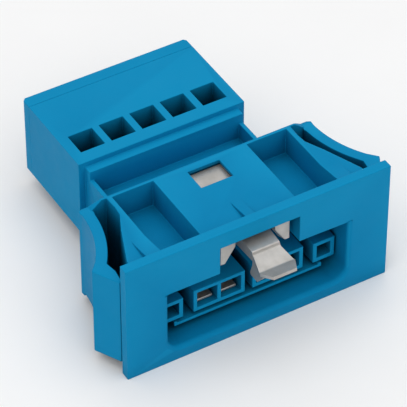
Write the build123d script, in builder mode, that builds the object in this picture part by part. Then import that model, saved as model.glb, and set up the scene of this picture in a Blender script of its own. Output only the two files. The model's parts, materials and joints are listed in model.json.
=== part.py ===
# Panel-mounted pluggable wire connector, five poles, rebuilt as separate mouldings and stampings.
# Millimetres. Origin: centre of the flange's front face. +Z up, the mating face looks along -Y,
# and wires enter from the +Y end. Everything is mirror-symmetric about X = 0 except the stampings.
from build123d import *
import os

os.makedirs("parts", exist_ok=True)

# ---- flange and front housing ----
flange_w, flange_h, flange_t = 41.2, 19.7, 1.5
body_top, body_bottom, body_rear = 7.85, -8.45, 17.6
opening_w, opening_top, opening_floor, cavity_depth = 28.2, 2.75, -7.75, 10.4
notch_w, notch_top, notch_depth = 12.4, 7.25, 15.4
crest_r, crest_low = 7.5, 3.45  # rounded top rear edge: radius, and height where it turns vertical
pocket_in, pocket_out, pocket_end, pocket_floor = 7.4, 13.75, 15.75, 3.45
window_w, window_front, window_rear = 5.0, 11.2, 14.9
rib_line = [(0.6, 8.6), (2.1, 8.6), (6.9, body_top), (6.9, 7.6), (0.6, 7.6)]  # Y and Z
ribs = [(-14.87, 2.25), (0.0, 1.5), (14.87, 2.25)]  # X and width of each rib behind the flange
slope_in, slope_rear_y, rim_r = 15.3, 15.5, 0.7
spigot_w, spigot_front, spigot_bottom, spigot_top = 24.0, 11.9, -6.4, 0.45
fit = 0.05  # gap round parts that plug into one another

# ---- side latches ----
pivot_x, pivot_y = 17.5, 15.3  # latch hinge line
knuckle_r, running_gap = 0.8, 0.04
latch_top, latch_bottom = 6.55, -8.05
grip_r, latch_t = 16.5, 1.65  # finger grip's hollow radius and the arm's thickness
grip_root, grip_end, hook_tip = (18.36, 15.4), (21.3, 7.0), (22.57, 5.6)
hook_line = [(20.5, 1.75), (20.05, 2.0), (19.8, 4.1), (20.1, 5.9)]
inner_root = (16.75, 15.1)

# ---- socket insert ----
insert_front, insert_wall = 2.8, 0.6
shroud_in, shroud_out, shroud_low, shroud_top = 0.6, 8.7, -5.45, -1.55
tube_in, tube_out, tube_top, tube_hole = 10.3, 13.8, -1.95, 2.2
shelf_w, shelf_low, shelf_top = 23.5, -6.65, -6.15
insert_back, foot_w, foot_rise = 9.0, 25.0, 1.2
socket_w = (shroud_out - shroud_in - 3 * insert_wall) / 2
socket_x = [shroud_in + insert_wall + socket_w / 2, shroud_out - insert_wall - socket_w / 2]

# ---- terminal block ----
neck_w, neck_rear, rail_top, rail_t = 24.6, 26.0, 3.15, 0.65
block_w, block_rear, block_low, block_top = 26.6, 40.4, -7.05, 5.55
ledge_front, ledge_top = 24.7, 4.7
channel_w, channel_low, channel_top = 22.4, -5.4, -0.5
nub_out, nub_front, nub_rear, nub_low, nub_top = 12.95, 19.6, 22.9, -1.45, -0.4
pole_pitch = 4.9
poles = [-2 * pole_pitch, -pole_pitch, 0.0, pole_pitch, 2 * pole_pitch]
chamber_w, chamber_front, chamber_low, chamber_top = 3.9, 27.2, -6.0, 0.2
slot_w, slot_front, slot_rear = 3.8, 28.2, 32.0
strap_gap, strap_gap_low, strap_gap_top = 0.3, -4.2, -2.6
cover_t, wire_r, wire_z, funnel_r, funnel_t = 2.0, 1.5, -2.8, 2.05, 0.8

# ---- contacts and earth bar ----
strap_out, strap_t, strap_low, strap_top = 1.85, 0.4, -4.1, -2.7
strap_front, joggle_rear = 14.0, 15.0
plate_front, plate_rear, plate_low, plate_top, plate_over = 32.3, 37.5, -1.3, -0.7, 1.6
fork_half, fork_t, fork_front, fork_rear, fork_low, fork_top = 1.2, 0.4, 3.6, 9.0, -4.6, -2.4
tail_half, tail_low, tail_top = 0.6, -3.8, -3.2
earth_top, earth_t, earth_half, earth_rear = 6.95, 0.45, 5.4, 15.0
ear_in, ear_front, finger_low = 3.1, 1.3, 2.8
riser_front, riser_in = 10.9, 1.4

# ---- earth tongue ----
tongue_w, tongue_hinge, pin_r, tongue_roll_r = 4.3, 8.0, 0.25, 0.5
hinge_z = earth_top - 0.5
tongue_line = [
    (tongue_hinge, earth_top),
    (3.5, 6.45),
    (0.5, 6.02),
    (-1.42, 5.8),
    (-1.56, 5.33),
    (-4.15, 4.55),
    (-6.4, 5.1),
]
skirt_line = [
    (3.0, 6.2),
    (3.0, 4.15),
    (-1.6, 4.35),
    (-1.8, 4.1),
    (-4.7, 4.1),
    (-4.15, 4.4),
    (-1.6, 5.15),
    (-1.42, 5.6),
    (0.5, 5.85),
]
flare_line = [(1.75, 4.3), (2.15, 4.3), (2.3, 3.9), (2.85, 2.66), (2.4, 2.66), (1.75, 4.0)]
flare_front, flare_w = 1.8, 2.9
tip_line = [(2.15, 9), (2.15, -2.9), (2.6, -3.8), (2.83, -4.3), (1.73, -6.6), (4, -6.6), (4, 9)]

# ---- clamp springs ----
clamp_y, clamp_z = 37.8, -5.0  # clamping leg hinge line
roll_r, eye_r, roll_half, leg_half = 0.5, 0.95, 1.5, 1.0
foot_half, foot_front, foot_rear, foot_low, foot_top = 1.6, 30.0, 39.0, -5.95, -5.6
foot_ear_t, foot_ear_front, foot_ear_rear, foot_ear_top = 0.4, 37.1, 38.5, -4.45
foot_gap_half, foot_gap_front = 1.1, 36.6
leg_line = [(37.8, -4.25), (33.2, -1.45), (29.2, -1.45), (29.2, -1.85), (33.05, -1.85), (37.2, -4.5)]


def block(x0, x1, y0, y1, z0, z1, mode=Mode.ADD):
    """A box between two opposite corners, added to or cut from the sub-part being built."""
    with Locations(((x0 + x1) / 2, (y0 + y1) / 2, (z0 + z1) / 2)):
        Box(abs(x1 - x0), abs(y1 - y0), abs(z1 - z0), mode=mode)


def rod(x, y, z, r, half, mode=Mode.ADD):
    """A cylinder along X, as long as twice half, centred at x."""
    with Locations(Location((x, y, z), (0, 90, 0))):
        Cylinder(r, 2 * half, mode=mode)


# Front housing: flange, body with top pockets, and the inverted-T mating recess.
body_plan = [
    (18.8, 0.5),
    (18.3, 3.7),
    (16.0, 9.3),
    (14.6, 12.2),
    (14.45, 13.8),
    (14.55, 15.9),
    (18.36, 15.9),
    (18.42, 16.65),
    (17.9, 16.95),
    (16.1, 17.3),
    (13.6, 17.5),
    (11.0, body_rear),
]
with BuildPart() as front_housing:
    with BuildSketch(Plane.XY.offset(body_bottom)):
        with BuildLine():
            Polyline(*body_plan, *[(-x, y) for x, y in reversed(body_plan)], close=True)
        make_face()
    extrude(amount=body_top - body_bottom)
    # rounded top rear edge
    with BuildSketch(Plane.YZ):
        with BuildLine():
            crease = body_rear - crest_r + (crest_r**2 - (body_top - crest_low) ** 2) ** 0.5
            Line((0, body_bottom), (0, body_top))
            Line((0, body_top), (crease, body_top))
            RadiusArc((crease, body_top), (body_rear, crest_low), crest_r)
            Line((body_rear, crest_low), (body_rear, body_bottom))
            Line((body_rear, body_bottom), (0, body_bottom))
        make_face()
    extrude(amount=flange_w / 2, both=True, mode=Mode.INTERSECT)
    block(-flange_w / 2, flange_w / 2, 0, flange_t, -flange_h / 2, flange_h / 2)
    # gusset ribs that carry the flange's upper edge
    for rib_x, rib_w in ribs:
        with BuildSketch(Plane.YZ.offset(rib_x)):
            Polygon(*rib_line, align=None)
        extrude(amount=rib_w / 2, both=True)
    # mating recess, its upper notch, and the wide spigot hole behind it
    with BuildSketch(Plane.XZ):
        with Locations((0, (opening_top + opening_floor) / 2)):
            Rectangle(opening_w, opening_top - opening_floor)
        low_corners = vertices().sort_by(Axis.Y)[:2]
        fillet(low_corners, 2.0)
    extrude(amount=-cavity_depth, mode=Mode.SUBTRACT)
    block(-notch_w / 2, notch_w / 2, 0, notch_depth, opening_top - 1, notch_top, Mode.SUBTRACT)
    hole_w = spigot_w / 2 + fit
    block(-hole_w, hole_w, insert_back, 18, spigot_bottom - fit, spigot_top + fit, Mode.SUBTRACT)
    riser_gap = (-riser_in - 0.2, strap_out + 0.15, insert_back, spigot_front)
    block(*riser_gap, 0, opening_top + 0.5, Mode.SUBTRACT)
    # top pockets and the inspection window over the earth bar
    for side in (-1, 1):
        block(
            side * pocket_in,
            side * pocket_out,
            flange_t,
            pocket_end,
            pocket_floor,
            body_top + 1,
            Mode.SUBTRACT,
        )
    window = window_w / 2
    block(-window, window, window_front, window_rear, notch_top - 1, body_top + 1, Mode.SUBTRACT)
    # the top slopes down to the latches at the rear corners
    for side in (-1, 1):
        with BuildSketch(Plane.XZ.offset(-slope_rear_y)):
            start, end = (slope_in, body_top + 0.01), (16.9, latch_top)
            slope = [start, end, (19.5, latch_top), (19.5, 9), (slope_in, 9)]
            Polygon(*[(side * x, z) for x, z in slope], align=None)
        extrude(amount=-3, mode=Mode.SUBTRACT)
    # latch sockets at the rear corners
    for side in (-1, 1):
        with Locations((side * pivot_x, pivot_y, 0)):
            Cylinder(knuckle_r + running_gap, 30, mode=Mode.SUBTRACT)
    # the recess has a soft lead-in at its sides and floor
    rim = front_housing.edges().filter_by_position(Axis.Y, -0.01, 0.01)
    rim = rim.filter_by_position(Axis.X, -opening_w / 2 - 0.1, opening_w / 2 + 0.1)
    rim = rim.filter_by_position(Axis.Z, opening_floor - 0.1, opening_top - 0.1)
    fillet(rim, rim_r)
front_housing.part.label = "front_housing"
export_step(front_housing.part, "parts/front_housing.step")

# Side latches: a finger grip that curves out to a hook behind the flange.
for name, side in (("latch_right", 1), ("latch_left", -1)):
    with BuildPart() as latch:
        with BuildSketch(Plane.XY.offset(latch_bottom)):
            with BuildLine():
                root, end, inner = [(side * x, y) for x, y in (grip_root, grip_end, inner_root)]
                hook = [(side * x, y) for x, y in (grip_end, hook_tip, *hook_line)]
                Line(inner, root)
                RadiusArc(root, end, side * -grip_r)
                Polyline(*hook)
                RadiusArc(hook[-1], inner, side * (grip_r + latch_t))
            make_face()
            with Locations((side * pivot_x, pivot_y)):
                Circle(knuckle_r)
        extrude(amount=latch_top - latch_bottom)
    latch.part.label = name
    export_step(latch.part, f"parts/{name}.step")

# Socket insert: back plate with two double shrouds, two square coding tubes and a shelf.
with BuildPart() as contact_insert:
    plate_x, low, high = opening_w / 2 - fit, opening_floor + fit, opening_top - fit
    block(-plate_x, plate_x, insert_back, cavity_depth, low + foot_rise, high)
    block(-foot_w / 2, foot_w / 2, insert_back, cavity_depth, low, 0)
    rear = insert_back + 0.5
    for side in (-1, 1):
        block(side * shroud_in, side * shroud_out, insert_front, rear, shroud_low, shroud_top)
        block(side * tube_in, side * tube_out, insert_front, rear, shroud_low, tube_top)
        tube_x, tube_z = side * (tube_in + tube_out) / 2, (shroud_low + tube_top) / 2
        with Locations((tube_x, insert_front + 3, tube_z)):
            Box(tube_hole, 6, tube_hole, mode=Mode.SUBTRACT)
        for x in socket_x:
            x0, x1 = side * x - socket_w / 2, side * x + socket_w / 2
            low_in, high_in = shroud_low + insert_wall, shroud_top - insert_wall
            block(x0, x1, insert_front, cavity_depth, low_in, high_in, Mode.SUBTRACT)
        lip = (side * shelf_w / 2, side * (shelf_w / 2 - 0.5))
        block(*lip, insert_front, rear, shelf_low, shelf_top + 0.25)
    block(-shelf_w / 2, shelf_w / 2, insert_front, rear, shelf_low, shelf_top)
contact_insert.part.label = "contact_insert"
export_step(contact_insert.part, "parts/contact_insert.step")

# Terminal housing: neck that plugs into the front housing, and the block of clamp chambers.
with BuildPart() as terminal_housing:
    spigot = spigot_w / 2
    block(-spigot, spigot, spigot_front, neck_rear, spigot_bottom, spigot_top)
    for side in (-1, 1):
        rail = side * (neck_w / 2 - rail_t)
        block(rail, side * neck_w / 2, body_rear + fit, neck_rear, spigot_bottom, rail_top)
        block(side * 12.0, side * nub_out, nub_front, nub_rear, nub_low, nub_top)
    block(-neck_w / 2, neck_w / 2, ledge_front, neck_rear, spigot_bottom, ledge_top)
    block(-block_w / 2, block_w / 2, neck_rear, block_rear, block_low, block_top)
    channel = (-channel_w / 2, channel_w / 2, spigot_front, neck_rear + 0.2)
    block(*channel, channel_low, channel_top, Mode.SUBTRACT)
    for x in poles:
        half = chamber_w / 2
        ends = (chamber_front, block_rear, chamber_low, chamber_top)
        block(x - half, x + half, *ends, Mode.SUBTRACT)
        half = slot_w / 2
        block(x - half, x + half, slot_front, slot_rear, 0, block_top, Mode.SUBTRACT)
        strap_x = (strap_out - strap_t / 2) * (-1 if x > 0 else 1)
        gap = (x + strap_x - strap_gap, x + strap_x + strap_gap, neck_rear, chamber_front)
        block(*gap, strap_gap_low, strap_gap_top, Mode.SUBTRACT)
terminal_housing.part.label = "terminal_housing"
export_step(terminal_housing.part, "parts/terminal_housing.step")

# Rear cover: closes the chambers and guides each wire in through a funnel.
with BuildPart() as rear_cover:
    cover_rear = block_rear + cover_t
    block(-block_w / 2, block_w / 2, block_rear, cover_rear, block_low, block_top)
    for x in poles:
        half = chamber_w / 2 - fit
        boss = (block_rear - 1.2, block_rear + 0.5, chamber_low + fit, chamber_top - fit)
        block(x - half, x + half, *boss)
    for x in poles:
        with Locations(Location((x, block_rear, wire_z), (90, 0, 0))):
            Cylinder(wire_r, 8, mode=Mode.SUBTRACT)
        with Locations(Location((x, cover_rear - funnel_t / 2, wire_z), (90, 0, 0))):
            Cone(funnel_r, wire_r, funnel_t, mode=Mode.SUBTRACT)
    vertical = rear_cover.edges().filter_by(Axis.Z)
    vertical = vertical.filter_by_position(Axis.Y, cover_rear - 0.01, cover_rear + 0.01)
    chamfer(vertical, 0.4)
rear_cover.part.label = "rear_cover"
export_step(rear_cover.part, "parts/rear_cover.step")


def clamp_end(x, inner):
    """Strap on edge and the plate that a wire is clamped up against, inner = side of the strap."""
    near, far = x + inner * (strap_out - strap_t), x + inner * strap_out
    block(near, far, strap_front, plate_rear, strap_low, strap_top)
    block(near, far, plate_front, plate_rear, strap_low, plate_top)
    block(x - inner * plate_over, far, plate_front, plate_rear, plate_low, plate_top)


# Line contacts: fork in the socket, joggled strap through the neck, clamp plate in the chamber.
line_poles = zip((1, 2, 3, 4), (-socket_x[1], -socket_x[0], *socket_x), poles[:2] + poles[3:])
for number, fork_x, pole_x in line_poles:
    inner = -1 if pole_x > 0 else 1
    strap_x = pole_x + inner * (strap_out - strap_t / 2)
    with BuildPart() as line_contact:
        fork = (fork_x - fork_half, fork_x + fork_half, fork_front)
        block(*fork, fork_rear, fork_low, fork_top)
        block(*fork, fork_rear - 0.6, fork_low + fork_t, fork_top - fork_t, Mode.SUBTRACT)
        tail = (fork_x - tail_half, fork_x + tail_half)
        block(*tail, fork_rear - fork_t, joggle_rear - fork_t, tail_low, tail_top)
        ends = sorted((*tail, strap_x - strap_t / 2, strap_x + strap_t / 2))
        block(ends[0], ends[-1], strap_front, joggle_rear, tail_low, tail_top)
        clamp_end(pole_x, inner)
    line_contact.part.label = f"line_contact_{number}"
    export_step(line_contact.part, f"parts/line_contact_{number}.step")

# Earth bar: plate under the housing's top, two short contact fingers, riser and clamp end.
earth_low = earth_top - earth_t
ear_line = [
    (ear_in, earth_top),
    (earth_half, earth_top),
    (earth_half, finger_low),
    (4.7, finger_low),
    (ear_in, 5.25),
]
with BuildPart() as earth_bar:
    block(-earth_half, earth_half, tongue_hinge + 1, earth_rear, earth_low, earth_top)
    for side in (-1, 1):
        ear = (side * earth_half, side * ear_in, ear_front, tongue_hinge + 1.1)
        block(*ear, earth_low, earth_top)
        with BuildSketch(Plane.XZ.offset(-ear_front)):
            Polygon(*[(side * x, z) for x, z in ear_line], align=None)
        extrude(amount=-earth_t)
        # bearing ear for the tongue's hinge pin
        bearing = (tongue_hinge - 0.6, tongue_hinge + 1.4)
        block(side * 2.4, side * 2.9, *bearing, 5.9, earth_top)
        block(side * 2.4, side * 3.2, *bearing, 6.2, earth_top)
    rod(0, tongue_hinge, hinge_z, pin_r, 2.6)
    riser = (-riser_in, strap_out, riser_front, riser_front + earth_t)
    block(*riser, strap_low, earth_top - 0.1)
    block(strap_out - strap_t, strap_out, riser_front, strap_front + 0.5, strap_low, strap_top)
    clamp_end(0, 1)
earth_bar.part.label = "earth_bar"
export_step(earth_bar.part, "parts/earth_bar.step")

# Earth tongue: leads the mating contacts, bent down in front of the flange, free to flex.
with BuildPart() as earth_tongue:
    with BuildSketch(Plane.YZ):
        under = [(y, z - earth_t) for y, z in reversed(tongue_line)]
        Polygon(*tongue_line, *under, align=None)
    extrude(amount=flare_line[3][0], both=True)
    # the front widens over the lobes, then tapers to a narrow lip
    for side in (-1, 1):
        with BuildSketch(Plane.XY):
            Polygon(*[(side * x, y) for x, y in tip_line], align=None)
        extrude(amount=earth_top + 1, mode=Mode.SUBTRACT)
    rod(0, tongue_hinge, hinge_z, tongue_roll_r, tongue_w / 2)
    rod(0, tongue_hinge, hinge_z, pin_r + running_gap, 3, Mode.SUBTRACT)
    # side flange bent down from each edge, with a lobe that flares outwards
    for side in (-1, 1):
        with BuildSketch(Plane.YZ.offset(side * (tongue_w - earth_t) / 2)):
            Polygon(*skirt_line, align=None)
        extrude(amount=earth_t / 2, both=True)
        with BuildSketch(Plane.XZ.offset(flare_front)):
            Polygon(*[(side * x, z) for x, z in flare_line], align=None)
        extrude(amount=flare_w)
    # the lobes' front edges slope up to the lip
    with BuildSketch(Plane.YZ):
        Polygon((-3.7, 2.5), (-4.9, 4.2), (-4.9, 2.5), align=None)
    extrude(amount=4, both=True, mode=Mode.SUBTRACT)
earth_tongue.part.label = "earth_tongue"
export_step(earth_tongue.part, "parts/earth_tongue.step")

# Clamp springs: floor plate with two ears and a roll, and the leg that turns on the roll.
for number, x in enumerate(poles, 1):
    with BuildPart() as clamp_spring:
        block(x - foot_half, x + foot_half, foot_front, foot_rear, foot_low, foot_top)
        gap = (x - foot_gap_half, x + foot_gap_half, foot_gap_front, foot_rear + 0.1)
        block(*gap, foot_low, foot_top, Mode.SUBTRACT)
        for side in (-1, 1):
            ear = (x + side * (foot_half - foot_ear_t), x + side * foot_half)
            block(*ear, foot_ear_front, foot_ear_rear, foot_low, foot_ear_top)
        rod(x, clamp_y, clamp_z, roll_r, roll_half)
    clamp_spring.part.label = f"clamp_spring_{number}"
    export_step(clamp_spring.part, f"parts/clamp_spring_{number}.step")
    with BuildPart() as spring_leg:
        with BuildSketch(Plane.YZ.offset(x)):
            Polygon(*leg_line, align=None)
        extrude(amount=leg_half, both=True)
        rod(x, clamp_y, clamp_z, eye_r, leg_half)
        rod(x, clamp_y, clamp_z, roll_r + running_gap, 2, Mode.SUBTRACT)
    spring_leg.part.label = f"spring_leg_{number}"
    export_step(spring_leg.part, f"parts/spring_leg_{number}.step")
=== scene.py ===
"""Panel-mounted pluggable wire connector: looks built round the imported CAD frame, in metres."""

import json
import math

import bmesh
import bpy
from mathutils import Matrix, Vector

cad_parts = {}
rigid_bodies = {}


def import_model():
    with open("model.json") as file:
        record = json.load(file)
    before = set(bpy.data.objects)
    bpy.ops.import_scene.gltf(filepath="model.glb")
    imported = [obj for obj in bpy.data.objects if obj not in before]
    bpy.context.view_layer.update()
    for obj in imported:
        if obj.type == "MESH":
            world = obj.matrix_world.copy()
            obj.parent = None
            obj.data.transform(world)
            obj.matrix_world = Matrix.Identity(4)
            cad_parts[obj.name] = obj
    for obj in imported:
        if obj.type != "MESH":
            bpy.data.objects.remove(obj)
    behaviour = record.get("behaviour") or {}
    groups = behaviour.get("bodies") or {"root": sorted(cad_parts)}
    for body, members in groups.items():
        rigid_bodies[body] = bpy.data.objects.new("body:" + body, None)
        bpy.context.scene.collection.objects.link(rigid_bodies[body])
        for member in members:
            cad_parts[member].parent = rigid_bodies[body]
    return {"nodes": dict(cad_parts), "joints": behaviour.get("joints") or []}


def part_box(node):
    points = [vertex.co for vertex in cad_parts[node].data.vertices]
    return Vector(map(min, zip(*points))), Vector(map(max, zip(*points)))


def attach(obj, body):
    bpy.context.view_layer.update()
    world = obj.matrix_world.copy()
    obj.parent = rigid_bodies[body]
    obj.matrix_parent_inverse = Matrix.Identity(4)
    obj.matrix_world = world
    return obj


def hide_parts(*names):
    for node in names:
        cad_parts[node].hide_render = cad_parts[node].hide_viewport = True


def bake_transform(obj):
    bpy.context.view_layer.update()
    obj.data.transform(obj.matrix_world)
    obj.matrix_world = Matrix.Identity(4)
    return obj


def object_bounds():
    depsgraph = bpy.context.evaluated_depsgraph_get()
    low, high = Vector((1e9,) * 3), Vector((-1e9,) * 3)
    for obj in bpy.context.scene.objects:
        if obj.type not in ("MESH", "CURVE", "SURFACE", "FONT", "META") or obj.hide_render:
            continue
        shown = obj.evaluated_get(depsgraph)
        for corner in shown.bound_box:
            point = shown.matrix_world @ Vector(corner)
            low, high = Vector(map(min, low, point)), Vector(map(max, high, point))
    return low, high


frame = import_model()
cad_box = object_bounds()

MM = 0.001
BODY = frame["joints"][0]["parent"]
MOULDINGS = ("front_housing", "contact_insert", "terminal_housing", "rear_cover")

# The camera looks along the photograph's direction, from far off with a long lens.
AZIMUTH, ELEVATION = math.radians(-30.7), math.radians(42.0)
LENS_MM, SENSOR_MM = 260.0, 36.0
FRAME_FILL = 0.90

# Edge rounding, in metres, and the angles that tell a corner from a gentle turn.
PLASTIC_ROUND, SKIN_ROUND = 0.10 * MM, 0.12 * MM
EARTH_ROUND, INNER_ROUND = 0.06 * MM, 0.05 * MM
CORNER_ANGLE, SHARP_ANGLE = math.radians(38), math.radians(50)
FLAT_ANGLE = math.radians(0.4)
# A face with more corners than this is a flat end, and its rim stays sharp.
MOST_SMOOTH_VERTS = 8

# Noise scales, in features a metre.
MOTTLE, MOULD_SWIRL, ERODED_GRAIN = 130.0, 380.0, 4200.0
PLATING_CLOUD, ROLLING_MARKS, PAPER_TONE = 420.0, 900.0, 40.0

# Earth tongue, in millimetres.
STRIP_THICK, FOLD_RADIUS = 0.45, 0.2
FLANGE_OUTSIDE, FLANGE_INSIDE, FLANGE_ROWS = 2.16, 1.78, 7
EYE_RADIUS, EYE_LENGTH = 0.5, 4.3
HINGE_Y = 8.0


# ---- node helpers ----
def new_material(name):
    """A node material, with its nodes, its links and its Principled shader."""
    material = bpy.data.materials.new(name)
    material.use_nodes = True
    nodes = material.node_tree.nodes
    shader = nodes["Principled BSDF"]
    return material, nodes, material.node_tree.links, shader


def noise(nodes, links, coords, scale, detail=3.0, roughness=0.55):
    node = nodes.new("ShaderNodeTexNoise")
    node.inputs["Scale"].default_value = scale
    node.inputs["Detail"].default_value = detail
    node.inputs["Roughness"].default_value = roughness
    links.new(coords, node.inputs["Vector"])
    return node.outputs["Fac"]


def remap(nodes, links, value, low, high, start=0.3, end=0.7):
    """Spreads a noise value over a range of numbers."""
    node = nodes.new("ShaderNodeMapRange")
    node.inputs["From Min"].default_value = start
    node.inputs["From Max"].default_value = end
    node.inputs["To Min"].default_value = low
    node.inputs["To Max"].default_value = high
    links.new(value, node.inputs["Value"])
    return node.outputs["Result"]


def ramp(nodes, links, value, stops):
    """A colour ramp, stops being (place, colour) pairs."""
    node = nodes.new("ShaderNodeValToRGB")
    elements = node.color_ramp.elements
    for element, (place, colour) in zip(elements, stops):
        element.position = place
        element.color = (*colour, 1.0)
    for place, colour in stops[2:]:
        element = elements.new(place)
        element.color = (*colour, 1.0)
    links.new(value, node.inputs["Fac"])
    return node.outputs["Color"]


def bump(nodes, links, height, distance, strength, normal=None):
    node = nodes.new("ShaderNodeBump")
    node.inputs["Distance"].default_value = distance
    node.inputs["Strength"].default_value = strength
    links.new(height, node.inputs["Height"])
    if normal:
        links.new(normal, node.inputs["Normal"])
    return node.outputs["Normal"]


def soft_edges(nodes, radius):
    """A shading normal that rounds the edges of stamped strip by a small radius."""
    node = nodes.new("ShaderNodeBevel")
    node.samples = 6
    node.inputs["Radius"].default_value = radius
    return node.outputs["Normal"]


def moulded_plastic(name, light, dark, edge):
    """Satin moulded plastic: mottled colour, fine eroded grain, edges a touch paler, and painted shade
    darkening its hollows.
    """
    material, nodes, links, shader = new_material(name)
    coords = nodes.new("ShaderNodeTexCoord").outputs["Object"]
    cloud = noise(nodes, links, coords, MOTTLE, 4.0)
    colour = ramp(nodes, links, cloud, [(0.3, dark), (0.7, light)])
    geometry = nodes.new("ShaderNodeNewGeometry")
    # convex edges, found by pointiness, are mixed towards a paler blue
    pale_edge_factor = remap(nodes, links, geometry.outputs["Pointiness"], 0.0, 0.5, 0.51, 0.60)
    mix = nodes.new("ShaderNodeMix")
    mix.data_type = "RGBA"
    links.new(pale_edge_factor, mix.inputs["Factor"])
    links.new(colour, mix.inputs["A"])
    mix.inputs["B"].default_value = (*edge, 1.0)
    # painted shade: an ambient-occlusion ramp darkens the colour in hollows, slots and recesses, on top of
    # the shade the lamps give
    shade = nodes.new("ShaderNodeAmbientOcclusion")
    shade.samples = 6
    shade.inputs["Distance"].default_value = 6.0 * MM
    painted_shade_stops = [(0.0, (0.06,) * 3), (0.62, (1.0,) * 3), (0.22, (0.5,) * 3)]
    depth = ramp(nodes, links, shade.outputs["AO"], painted_shade_stops)
    # painted shade multiplied into the base colour
    painted_shade_multiply = nodes.new("ShaderNodeMix")
    painted_shade_multiply.data_type = "RGBA"
    painted_shade_multiply.blend_type = "MULTIPLY"
    painted_shade_multiply.inputs["Factor"].default_value = 1.0
    links.new(mix.outputs["Result"], painted_shade_multiply.inputs["A"])
    links.new(depth, painted_shade_multiply.inputs["B"])
    links.new(painted_shade_multiply.outputs["Result"], shader.inputs["Base Color"])
    grain = noise(nodes, links, coords, ERODED_GRAIN, 2.0, 0.5)
    swirl = noise(nodes, links, coords, MOULD_SWIRL, 3.0, 0.5)
    links.new(remap(nodes, links, swirl, 0.46, 0.58), shader.inputs["Roughness"])
    fine = bump(nodes, links, grain, 0.010 * MM, 0.4)
    links.new(bump(nodes, links, swirl, 0.03 * MM, 0.2, fine), shader.inputs["Normal"])
    shader.inputs["IOR"].default_value = 1.5
    shader.inputs["Specular IOR Level"].default_value = 0.06
    shader.inputs["Specular Tint"].default_value = (0.35, 0.85, 1.0, 1.0)
    return material


def stamped_metal(name, light, dark, metallic, low_rough, high_rough):
    """Matt plated strip: cloudy grey with fine rolling marks along its length."""
    material, nodes, links, shader = new_material(name)
    coords = nodes.new("ShaderNodeTexCoord").outputs["Object"]
    stretch = nodes.new("ShaderNodeMapping")
    stretch.inputs["Scale"].default_value = (1.0, 0.06, 1.0)
    links.new(coords, stretch.inputs["Vector"])
    rolled = noise(nodes, links, stretch.outputs["Vector"], ROLLING_MARKS, 4.0, 0.6)
    cloud = noise(nodes, links, coords, PLATING_CLOUD, 4.0, 0.6)
    colour = ramp(nodes, links, cloud, [(0.3, dark), (0.7, light)])
    links.new(colour, shader.inputs["Base Color"])
    shader.inputs["Metallic"].default_value = metallic
    links.new(remap(nodes, links, rolled, low_rough, high_rough), shader.inputs["Roughness"])
    marks = bump(nodes, links, rolled, 0.008 * MM, 0.5, soft_edges(nodes, 0.06 * MM))
    links.new(marks, shader.inputs["Normal"])
    return material


def floor_material():
    """Pale matt studio paper."""
    material, nodes, links, shader = new_material("studio_paper")
    coords = nodes.new("ShaderNodeTexCoord").outputs["Object"]
    tone = noise(nodes, links, coords, PAPER_TONE, 5.0)
    colour = ramp(nodes, links, tone, [(0.3, (0.93,) * 3), (0.7, (0.95,) * 3)])
    links.new(colour, shader.inputs["Base Color"])
    shader.inputs["Roughness"].default_value = 0.9
    shader.inputs["Specular IOR Level"].default_value = 0.2
    return material


def use(node_name, material):
    """Gives a CAD node one material."""
    slots = frame["nodes"][node_name].data.materials
    slots.clear()
    slots.append(material)


def soften(obj, width):
    """Rounds an object's edges as moulding and stamping leave them, with modifiers only.

    Known fault: on terminal_housing, flat and bevel together leave stray faces across the operating holes.
    """
    modifiers = obj.modifiers
    weld = modifiers.new("weld", "WELD")
    weld.merge_threshold = 0.002 * MM
    flat = modifiers.new("flat", "DECIMATE")
    flat.decimate_type = "DISSOLVE"
    flat.angle_limit = FLAT_ANGLE
    bevel = modifiers.new("bevel", "BEVEL")
    bevel.width = width
    bevel.segments = 2
    bevel.limit_method = "ANGLE"
    bevel.angle_limit = CORNER_ANGLE
    bevel.use_clamp_overlap = False
    even = modifiers.new("even", "WEIGHTED_NORMAL")
    even.keep_sharp = False
    even.weight = 100


# ---- pieces built here ----
def piece(name, mesh, material):
    """A shown object from a finished bmesh, its gently turning edges smooth and its corners sharp."""
    bmesh.ops.recalc_face_normals(mesh, faces=mesh.faces)
    for face in mesh.faces:
        face.smooth = True
    for edge in mesh.edges:
        flat_end = any(len(face.verts) > MOST_SMOOTH_VERTS for face in edge.link_faces)
        edge.smooth = edge.calc_face_angle(0.0) < CORNER_ANGLE and not flat_end
    data = bpy.data.meshes.new(name)
    mesh.to_mesh(data)
    mesh.free()
    data.materials.append(material)
    obj = bpy.data.objects.new(name, data)
    bpy.context.scene.collection.objects.link(obj)
    return obj


def arc(start, end, radius, steps):
    """Points in plan from start to end round a circle centred to the right, or left if radius < 0."""
    a, b = Vector(start), Vector(end)
    half = (b - a) / 2
    away = Vector((half.y, -half.x)).normalized() * math.copysign(1.0, radius)
    middle = a + half + away * math.sqrt(radius**2 - half.length_squared)
    spoke = a - middle
    turn = -spoke.angle_signed(b - middle)
    angles = [turn * step / steps for step in range(steps + 1)]
    return [
        (
            middle.x + spoke.x * math.cos(angle) - spoke.y * math.sin(angle),
            middle.y + spoke.x * math.sin(angle) + spoke.y * math.cos(angle),
        )
        for angle in angles
    ]


def prism(outline, low, high):
    """A closed solid over a plan outline, in millimetres."""
    mesh = bmesh.new()
    floor = mesh.faces.new([mesh.verts.new((x * MM, y * MM, low * MM)) for x, y in outline])
    grown = bmesh.ops.extrude_face_region(mesh, geom=[floor])["geom"]
    lifted = [item for item in grown if isinstance(item, bmesh.types.BMVert)]
    bmesh.ops.translate(mesh, verts=lifted, vec=(0, 0, (high - low) * MM))
    return mesh


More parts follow.
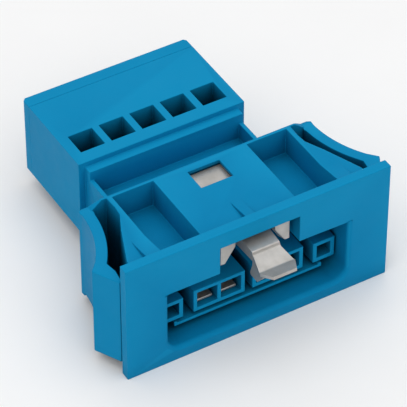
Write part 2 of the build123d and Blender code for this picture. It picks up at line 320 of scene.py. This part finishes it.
def latch_skin(side, node_name):
    """A latch arm with its finger hollow, blended into the housing's corner where the CAD hinges."""
    low, high = (corner[2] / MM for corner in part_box(node_name))
    hollow = arc((18.36, 15.4), (21.3, 7.0), -16.5, 14)
    hook = [(22.57, 5.6), (20.5, 1.75), (20.05, 2.0), (19.8, 4.1)]
    inner = arc((20.1, 5.9), (16.75, 15.1), 18.15, 14)
    root = [(16.6, 15.6), (16.7, 16.5), (17.9, 16.6), (18.35, 16.3)]
    mesh = prism([(side * x, y) for x, y in hollow + hook + inner + root], low, high + 0.01)
    skin = piece(f"{node_name}_skin", mesh, BLUE)
    soften(skin, SKIN_ROUND)
    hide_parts(node_name)
    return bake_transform(skin)


def slab(mesh, upper, lower):
    """A closed sheet between two grids of points, both rows by columns, in millimetres."""
    top, under = (
        [[mesh.verts.new(Vector(spot) * MM) for spot in row] for row in grid] for grid in (upper, lower)
    )
    rows, columns = len(upper), len(upper[0])
    for grid in (top, under):
        for row in range(rows - 1):
            for column in range(columns - 1):
                near, far = grid[row], grid[row + 1]
                mesh.faces.new((near[column], near[column + 1], far[column + 1], far[column]))
    ends = [((row, side), (row + 1, side)) for row in range(rows - 1) for side in (0, columns - 1)]
    ends += [((side, column), (side, column + 1)) for column in range(columns - 1) for side in (0, rows - 1)]
    for (r1, c1), (r2, c2) in ends:
        mesh.faces.new((top[r1][c1], top[r2][c2], under[r2][c2], under[r1][c1]))


def rounded(line, radius, steps=5):
    """A line of (y, z) points whose inner corners are replaced by short curves."""
    spots = [Vector(spot) for spot in line]
    path = [spots[0]]
    for before, corner, after in zip(spots, spots[1:], spots[2:]):
        start = corner + (before - corner).normalized() * radius
        end = corner + (after - corner).normalized() * radius
        for step in range(steps + 1):
            t = step / steps
            path.append(start * (1 - t) ** 2 + corner * 2 * t * (1 - t) + end * t**2)
    return path + [spots[-1]]


def between(value, table):
    """Straight-line reading of a table of (place, amount) pairs in rising order."""
    for (a, first), (b, second) in zip(table, table[1:]):
        if value <= b:
            return first + (second - first) * max(value - a, 0.0) / (b - a)
    return table[-1][1]


def tongue_sheet():
    """The earth tongue as bent strip: rounded folds, a side flange each side, and flared lobes."""
    low, high = (Vector(corner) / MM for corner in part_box("earth_tongue"))
    top = high.z
    fold = [(HINGE_Y, top), (3.5, 6.45), (0.5, 6.02), (-1.36, 5.8)]
    fold += [(-1.56, 5.33), (-4.15, 4.55), (low.y + 0.15, 5.1)]
    path = rounded(fold, FOLD_RADIUS)
    half_width = [(low.y, 1.73), (-4.3, 2.78), (-3.8, 2.58), (-2.9, 2.15), (9.0, 2.15)]
    across = [-1.0, -0.94, -0.6, -0.2, 0.2, 0.6, 0.94, 1.0]
    upper, lower = [], []
    for number, spot in enumerate(path):
        ahead = path[min(number + 1, len(path) - 1)] - path[max(number - 1, 0)]
        normal = Vector((ahead.y, -ahead.x)).normalized()
        under = spot + normal * math.copysign(STRIP_THICK, -normal.y)
        width = between(spot.x, half_width)
        upper.append([(width * share, spot.x, spot.y) for share in across])
        lower.append([(width * share, under.x, under.y) for share in across])
    mesh = bmesh.new()
    slab(mesh, upper, lower)
    # flange and lobe: the top edge follows the strip, the bottom edge drops into the lobe
    upper_edge = [(-4.75, 4.5), (-4.15, 4.3), (-1.6, 5.05), (-1.4, 5.45), (0.5, 5.75), (3.0, 6.05)]
    lower_edge = [(-4.75, 4.2), (-4.3, 3.4), (-3.7, 2.68), (-2.1, 2.68)]
    lower_edge += [(-1.8, 2.9), (-1.62, 4.35), (3.0, 4.15)]
    flare = [(0.0, 0.62), (0.5, 0.42), (1.1, 0.14), (1.6, 0.0), (5.0, 0.0)]
    places = [-4.75, -4.6, -4.3, -4.0, -3.7, -3.0, -2.4, -2.1]
    places += [-1.95, -1.8, -1.68, -1.55, -1.0, 0.5, 3.0]
    for side in (-1, 1):
        outer, inner = [], []
        for place in places:
            ceiling, floor = between(place, upper_edge), between(place, lower_edge)
            heights = [ceiling + (floor - ceiling) * row / FLANGE_ROWS for row in range(FLANGE_ROWS + 1)]
            bows = [between(height - low.z, flare) for height in heights]
            outer.append([(side * (FLANGE_OUTSIDE + bow), place, z) for bow, z in zip(bows, heights)])
            inner.append([(side * (FLANGE_INSIDE + bow), place, z) for bow, z in zip(bows, heights)])
        slab(mesh, outer, inner)
    bmesh.ops.recalc_face_normals(mesh, faces=mesh.faces)
    corners = [edge for edge in mesh.edges if edge.calc_face_angle(0.0) > SHARP_ANGLE]
    bmesh.ops.bevel(mesh, geom=corners, offset=0.05 * MM, segments=2, affect="EDGES", clamp_overlap=True)
    # the rolled eye that turns on the hinge pin
    hinge = Vector((0.0, HINGE_Y, top - EYE_RADIUS)) * MM
    turned = Matrix.Translation(hinge) @ Matrix.Rotation(math.radians(90), 4, "Y")
    eye = EYE_RADIUS * MM
    bmesh.ops.create_cone(
        mesh, cap_ends=True, segments=32, radius1=eye, radius2=eye, depth=EYE_LENGTH * MM, matrix=turned
    )
    sheet = piece("earth_tongue_sheet", mesh, EARTH_TIN)
    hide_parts("earth_tongue")
    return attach(sheet, "earth_tongue")


def finger_flap(side):
    """The slanting inner edge of an earth finger, turned back to guide the mating contact."""
    low, high = (Vector(corner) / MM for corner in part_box("earth_bar"))
    front, top = low.y, high.z
    edge = [(3.1, front, top - 0.25), (3.1, front, 5.25), (4.7, front, 2.8)]
    turned = [(2.75, front + 0.95, top - 0.25), (2.75, front + 0.95, 5.35), (4.15, front + 0.95, 3.0)]
    mesh = bmesh.new()
    outer = [[(side * x, y, z) for x, y, z in row] for row in (edge, turned)]
    inner = [[(x + side * 0.3, y + 0.2, z) for x, y, z in row] for row in outer]
    slab(mesh, outer, inner)
    bmesh.ops.recalc_face_normals(mesh, faces=mesh.faces)
    edges = mesh.edges[:]
    bmesh.ops.bevel(mesh, geom=edges, offset=0.04 * MM, segments=2, affect="EDGES", clamp_overlap=True)
    flap = piece(f"earth_finger_{'right' if side > 0 else 'left'}", mesh, EARTH_TIN)
    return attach(flap, BODY)


BLUE = moulded_plastic(
    "blue_polyamide", light=(0.003, 0.232, 0.468), dark=(0.002, 0.214, 0.440), edge=(0.006, 0.30, 0.56)
)
EARTH_TIN = stamped_metal(
    "matt_tin_earth_strip",
    light=(0.56, 0.54, 0.515),
    dark=(0.44, 0.425, 0.40),
    metallic=0.7,
    low_rough=0.36,
    high_rough=0.5,
)
LINE_TIN = stamped_metal(
    "tin_plated_contact",
    light=(0.58, 0.56, 0.52),
    dark=(0.46, 0.44, 0.41),
    metallic=0.85,
    low_rough=0.34,
    high_rough=0.46,
)
# spring steel darker than bare steel: partly its own dark grey, partly painted shade so the deep operating
# holes read black
SHADE_DARKENED_STEEL = stamped_metal(
    "spring_steel",
    light=(0.24, 0.24, 0.25),
    dark=(0.16, 0.16, 0.17),
    metallic=0.9,
    low_rough=0.46,
    high_rough=0.58,
)


def finish_of(node_name):
    """The material and edge rounding of a CAD node."""
    if node_name in MOULDINGS or node_name.startswith("latch"):
        return BLUE, PLASTIC_ROUND
    if node_name.startswith("earth"):
        return EARTH_TIN, EARTH_ROUND
    if node_name.startswith("line"):
        return LINE_TIN, INNER_ROUND
    return SHADE_DARKENED_STEEL, INNER_ROUND


for node_name, node in frame["nodes"].items():
    material, width = finish_of(node_name)
    use(node_name, material)
    soften(node, width)

latch_skin(1, "latch_right")
latch_skin(-1, "latch_left")
tongue_sheet()
finger_flap(1)
finger_flap(-1)


# ---- studio ----
def plane(name, size, z, material):
    """A level square sheet that belongs to the studio and not to the object."""
    bpy.ops.mesh.primitive_plane_add(size=size, location=(0, 0, z))
    sheet = bpy.context.object
    sheet.name = name
    sheet.data.materials.append(material)


def area_light(name, place, aim, size, power):
    """A round soft light turned towards a point."""
    data = bpy.data.lights.new(name, "AREA")
    data.shape = "DISK"
    data.size = size
    data.energy = power
    lamp = bpy.data.objects.new(name, data)
    lamp.location = place
    lamp.rotation_euler = (Vector(aim) - Vector(place)).to_track_quat("-Z", "Y").to_euler()
    bpy.context.scene.collection.objects.link(lamp)


def camera(corners):
    """Aims at the middle of the object's outline and stands back until it fills the frame."""
    level = math.cos(ELEVATION)
    back = Vector((math.sin(AZIMUTH) * level, -math.cos(AZIMUTH) * level, math.sin(ELEVATION)))
    right = Vector((math.cos(AZIMUTH), math.sin(AZIMUTH), 0.0))
    up = back.cross(right)
    across = [corner.dot(right) for corner in corners]
    high = [corner.dot(up) for corner in corners]
    depth = [corner.dot(back) for corner in corners]
    middle = right * (max(across) + min(across)) / 2 + up * (max(high) + min(high)) / 2
    middle += back * (max(depth) + min(depth)) / 2
    extent = max(max(across) - min(across), max(high) - min(high))
    distance = extent / FRAME_FILL * LENS_MM / SENSOR_MM
    data = bpy.data.cameras.new("camera")
    data.lens = LENS_MM
    data.sensor_width = SENSOR_MM
    data.clip_start = 0.01
    data.clip_end = 20.0
    lens = bpy.data.objects.new("camera", data)
    lens.location = middle + back * distance
    lens.rotation_euler = back.to_track_quat("Z", "Y").to_euler()
    bpy.context.scene.collection.objects.link(lens)
    bpy.context.scene.camera = lens


low, high = (Vector(corner) for corner in cad_box)
centre = (low + high) / 2
plane("studio_floor", 6.0, low.z, floor_material())
area_light("key", (-0.10, -0.20, 0.62), centre, 1.3, 4.2)
area_light("rim", (0.20, 0.45, 0.50), centre, 0.9, 0.9)

world = bpy.data.worlds.new("studio_air")
bpy.context.scene.world = world
world.use_nodes = True
background = world.node_tree.nodes["Background"]
background.inputs["Color"].default_value = (1.0, 1.0, 1.0, 1.0)
background.inputs["Strength"].default_value = 0.46

bpy.context.scene.view_settings.view_transform = "Standard"

camera([vertex.co.copy() for node in frame["nodes"].values() for vertex in node.data.vertices])
